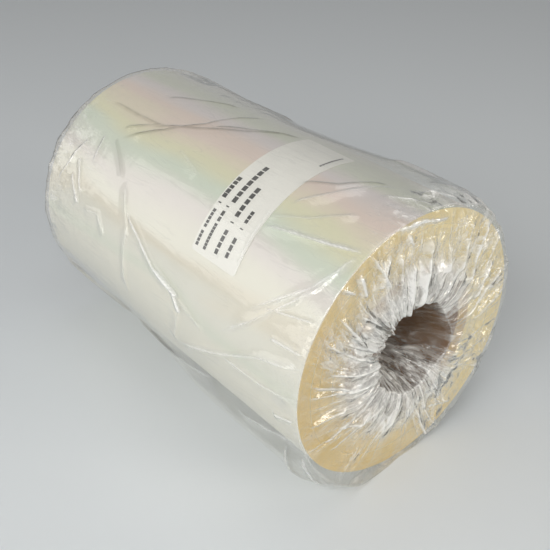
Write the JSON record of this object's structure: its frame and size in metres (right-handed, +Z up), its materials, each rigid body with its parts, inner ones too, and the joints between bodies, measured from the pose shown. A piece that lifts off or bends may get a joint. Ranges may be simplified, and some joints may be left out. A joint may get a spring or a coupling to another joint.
{
  "type": "roll of lidding film",
  "caption": "Roll of clear lidding film wound on a card core, with a paper label, packed in a clear wrap whose gathered ends are tucked into the core.",
  "frame": {"origin": "on the ground, under the middle of the roll as it lies", "axes": "+X along the roll's axis towards the end nearer the label, +Z up, the label on the upper side towards -Y"},
  "size_m": [0.2614, 0.1622, 0.1594],
  "materials": {
    "core_card": "matte",
    "lidding_film": "glossy",
    "label_paper": "matte",
    "clear_wrap": "glossy"
  },
  "bodies": {
    "root": {"core": "core_card", "film_roll": "lidding_film", "label": "label_paper", "wrap": "clear_wrap"}
  },
  "joints": []
}
